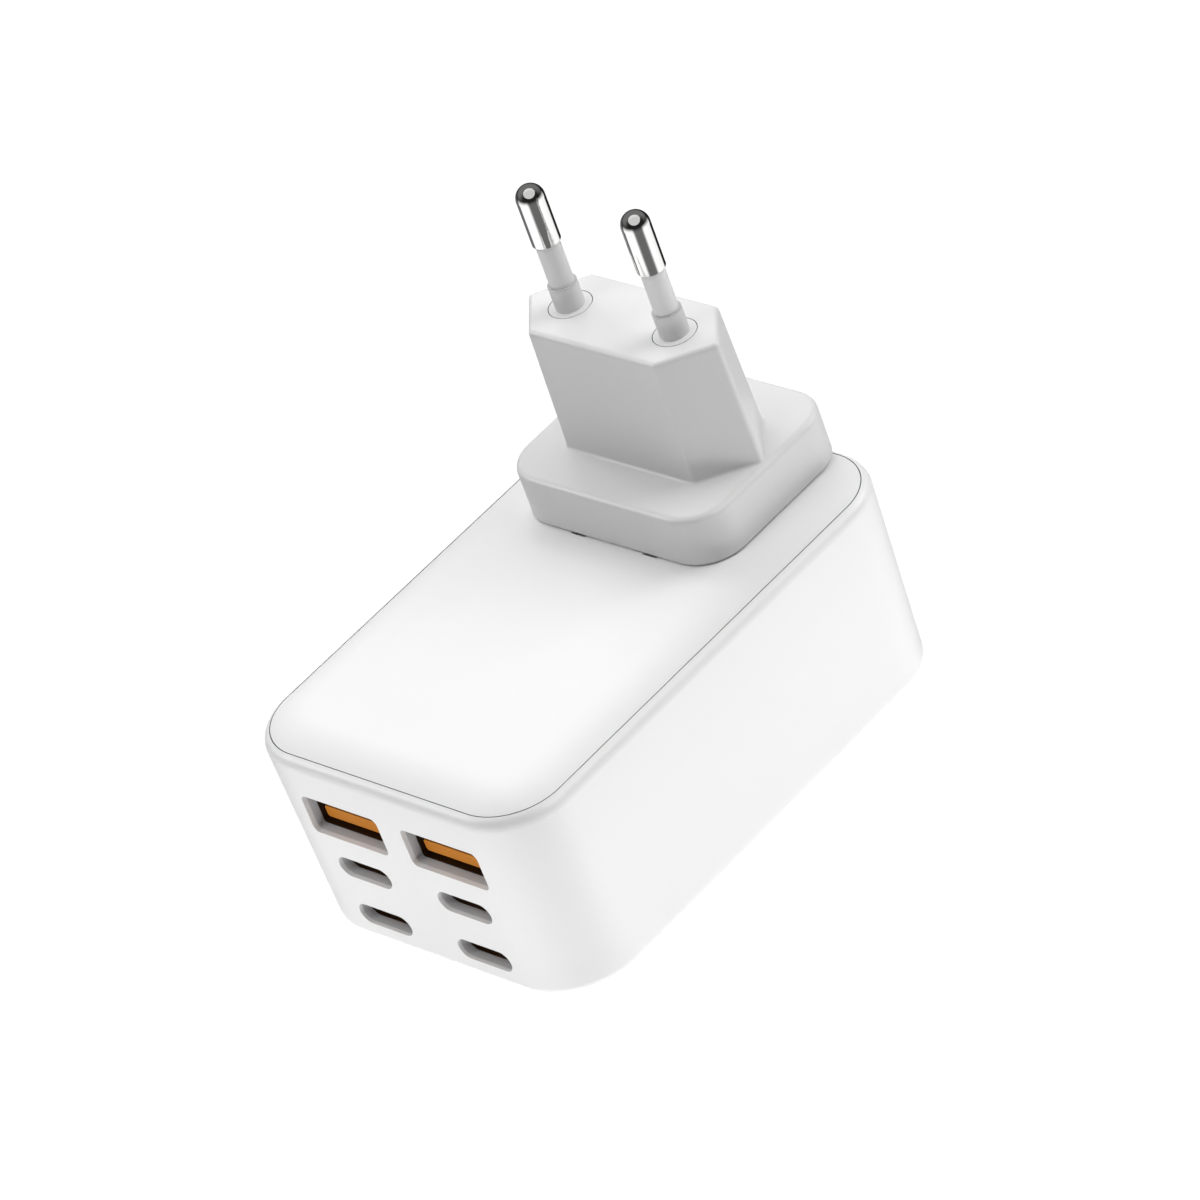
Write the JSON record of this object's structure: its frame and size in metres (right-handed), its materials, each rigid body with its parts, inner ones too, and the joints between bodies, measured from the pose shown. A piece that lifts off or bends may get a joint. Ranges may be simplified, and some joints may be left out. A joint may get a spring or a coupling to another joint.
{
  "type": "wall charger",
  "caption": "Rounded block-shaped USB wall charger with ports in one end and a slide-on two-pin plug adapter on its front cover.",
  "frame": {"origin": "centre of the flat back face that the charger lies on", "axes": "+Z towards the tips of the plug pins, -Y out of the port face, +X across the charger"},
  "size_m": [0.0524, 0.079, 0.0787],
  "materials": {
    "housing_plastic": "fine satin moulding",
    "adapter_plastic": "fine satin moulding",
    "sleeve_plastic": "satin",
    "pin_plating": "bright nickel plating",
    "contact_brass": "plain",
    "connector_steel": "tinned sheet",
    "tongue_plastic": "satin orange moulding",
    "board_laminate": "solder resist",
    "chip_epoxy": "moulded epoxy",
    "ferrite": "sintered ferrite",
    "winding_tape": "polyester tape",
    "winding_copper": "enamelled copper wire",
    "capacitor_sleeve": "shrink sleeve",
    "film_capacitor": "moulded case",
    "ceramic_coat": "dipped resin",
    "fuse_body": "ceramic tube",
    "spreader_metal": "rolled sheet",
    "wire_cover": "insulation",
    "insulation_film": "fibre sheet"
  },
  "bodies": {
    "charger": {"housing": "housing_plastic", "cover": "housing_plastic", "dock_contact_left": "contact_brass", "dock_contact_right": "contact_brass", "usb_a_contacts_left": "contact_brass", "usb_a_contacts_right": "contact_brass", "usb_a_shell_left": "connector_steel", "usb_a_shell_right": "connector_steel", "usb_c_shell_upper_left": "connector_steel", "usb_c_shell_upper_right": "connector_steel", "usb_c_shell_lower_left": "connector_steel", "usb_c_shell_lower_right": "connector_steel", "usb_a_tongue_left": "tongue_plastic", "usb_a_tongue_right": "tongue_plastic", "usb_c_tongue_upper_left": "tongue_plastic", "usb_c_tongue_upper_right": "tongue_plastic", "usb_c_tongue_lower_left": "tongue_plastic", "usb_c_tongue_lower_right": "tongue_plastic", "port_board": "board_laminate", "main_board": "board_laminate", "port_chip_1": "chip_epoxy", "port_chip_2": "chip_epoxy", "port_chip_3": "chip_epoxy", "controller_chip": "chip_epoxy", "power_transistor": "chip_epoxy", "bridge_rectifier": "chip_epoxy", "output_inductor": "chip_epoxy", "transformer_core": "ferrite", "choke_core": "ferrite", "transformer_winding": "winding_tape", "choke_winding_left": "winding_copper", "choke_winding_right": "winding_copper", "bulk_capacitor_1": "capacitor_sleeve", "bulk_capacitor_2": "capacitor_sleeve", "output_capacitor_1": "capacitor_sleeve", "output_capacitor_2": "capacitor_sleeve", "output_capacitor_3": "capacitor_sleeve", "output_capacitor_4": "capacitor_sleeve", "x_capacitor": "film_capacitor", "y_capacitor": "ceramic_coat", "fuse": "fuse_body", "heat_spreader": "spreader_metal", "dock_wire_left": "wire_cover", "dock_wire_right": "wire_cover", "insulation_sheet": "insulation_film"},
    "plug_adapter": {"adapter_shell": "adapter_plastic", "adapter_base_plate": "adapter_plastic", "pin_carrier": "adapter_plastic", "pin_left": "pin_plating", "pin_right": "pin_plating", "pin_sleeve_left": "sleeve_plastic", "pin_sleeve_right": "sleeve_plastic", "pin_insert_left": "adapter_plastic", "pin_insert_right": "adapter_plastic", "adapter_contact_left": "contact_brass", "adapter_contact_right": "contact_brass"}
  },
  "joints": [
    {"name": "adapter_slide", "type": "slide", "parent": "charger", "child": "plug_adapter", "axis": [0, 1, 0], "range_m": [0, 0.0236]}
  ]
}
